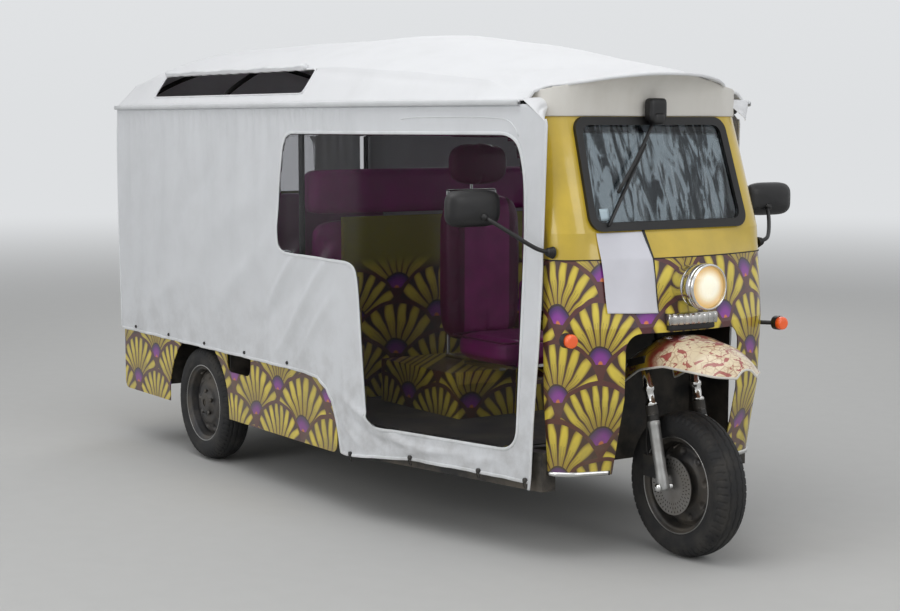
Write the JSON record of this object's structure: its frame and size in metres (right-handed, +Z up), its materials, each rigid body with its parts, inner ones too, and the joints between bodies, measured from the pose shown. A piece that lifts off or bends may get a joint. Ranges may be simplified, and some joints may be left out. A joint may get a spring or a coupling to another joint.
{
  "type": "auto rickshaw",
  "caption": "Three-wheeled passenger taxi with a canvas roof, closed side curtains, handlebar steering and facing benches.",
  "frame": {"origin": "on the ground, in the middle of the overall length and width", "axes": "+X forward, +Y to the vehicle's left, +Z up"},
  "size_m": [3.9399, 1.67, 1.9696],
  "materials": {
    "frame_black": "satin",
    "floor_grey": "matt",
    "gold_paint": "gloss",
    "flower_paint": "gloss",
    "lining_olive": "matt",
    "magenta_vinyl": "satin",
    "white_canvas": "matt",
    "white_rail": "gloss",
    "clear_plastic": "gloss",
    "clear_glass": "gloss",
    "black_rubber": "matt",
    "black_plastic": "satin",
    "orange_lamp": "gloss",
    "red_lamp": "gloss",
    "mirror_glass": "gloss",
    "bright_metal": "gloss",
    "lamp_glass": "gloss",
    "white_paper": "matt",
    "silver_legs": "satin",
    "dark_steel": "satin",
    "engine_grey": "matt",
    "wheel_grey": "satin",
    "tyre_black": "matt"
  },
  "bodies": {
    "chassis": {"chassis_frame": "frame_black", "sills": "frame_black", "rear_axle": "frame_black", "leaf_springs": "frame_black", "wheelhouses": "frame_black", "wheel_liner": "frame_black", "rear_bumper": "frame_black", "roof_frame": "frame_black", "seat_frame": "frame_black", "floor_pan": "floor_grey", "screen_surround": "gold_paint", "nose_shell": "flower_paint", "tub_sides": "flower_paint", "rear_panel": "flower_paint", "bulkhead": "lining_olive", "bench_bases": "lining_olive", "seat_box": "lining_olive", "driver_cushion": "magenta_vinyl", "driver_backrest": "magenta_vinyl", "bulkhead_pad": "magenta_vinyl", "bench_cushions": "magenta_vinyl", "bench_backrests": "magenta_vinyl", "roof_canvas": "white_canvas", "roof_canvas_rear": "white_canvas", "side_curtain_right": "white_canvas", "side_curtain_left": "white_canvas", "rear_curtain": "white_canvas", "drip_rails": "white_rail", "curtain_windows": "clear_plastic", "rear_window": "clear_plastic", "windscreen_glass": "clear_glass", "windscreen_gasket": "black_rubber", "wiper": "black_plastic", "dashboard": "black_plastic", "indicator_stalks": "black_plastic", "mirrors": "black_plastic", "indicator_lenses": "orange_lamp", "tail_lamps": "red_lamp", "mirror_glasses": "mirror_glass", "headlamp_bucket": "bright_metal", "nose_strip": "bright_metal", "headlamp_lens": "lamp_glass", "paper_sheet": "white_paper", "number_plate": "white_paper", "drive_shaft": "dark_steel", "exhaust": "dark_steel", "engine_block": "engine_grey"},
    "steering": {"fork_legs": "silver_legs", "fork_yoke": "dark_steel", "handlebar": "bright_metal", "handlebar_grips": "black_rubber", "front_mudguard": "flower_paint", "brake_caliper": "dark_steel"},
    "front_wheel": {"front_tyre": "tyre_black", "front_rim": "wheel_grey", "front_disc": "dark_steel"},
    "rear_wheel_right": {"rear_tyre_right": "tyre_black", "rear_rim_right": "wheel_grey"},
    "rear_wheel_left": {"rear_tyre_left": "tyre_black", "rear_rim_left": "wheel_grey"}
  },
  "joints": [
    {"name": "steering_turn", "type": "hinge", "parent": "chassis", "child": "steering", "pos_m": [1.51192, 0, 0.715], "axis": [-0.2504, 0, 0.9681], "range_deg": [-35, 35]},
    {"name": "front_wheel_spin", "type": "hinge", "parent": "steering", "child": "front_wheel", "pos_m": [1.665, 0, 0.27], "axis": [0, 1, 0], "continuous": true},
    {"name": "rear_wheel_right_spin", "type": "hinge", "parent": "chassis", "child": "rear_wheel_right", "pos_m": [-1.015, -0.622, 0.27], "axis": [0, 1, 0], "continuous": true},
    {"name": "rear_wheel_left_spin", "type": "hinge", "parent": "chassis", "child": "rear_wheel_left", "pos_m": [-1.015, 0.622, 0.27], "axis": [0, 1, 0], "continuous": true}
  ]
}
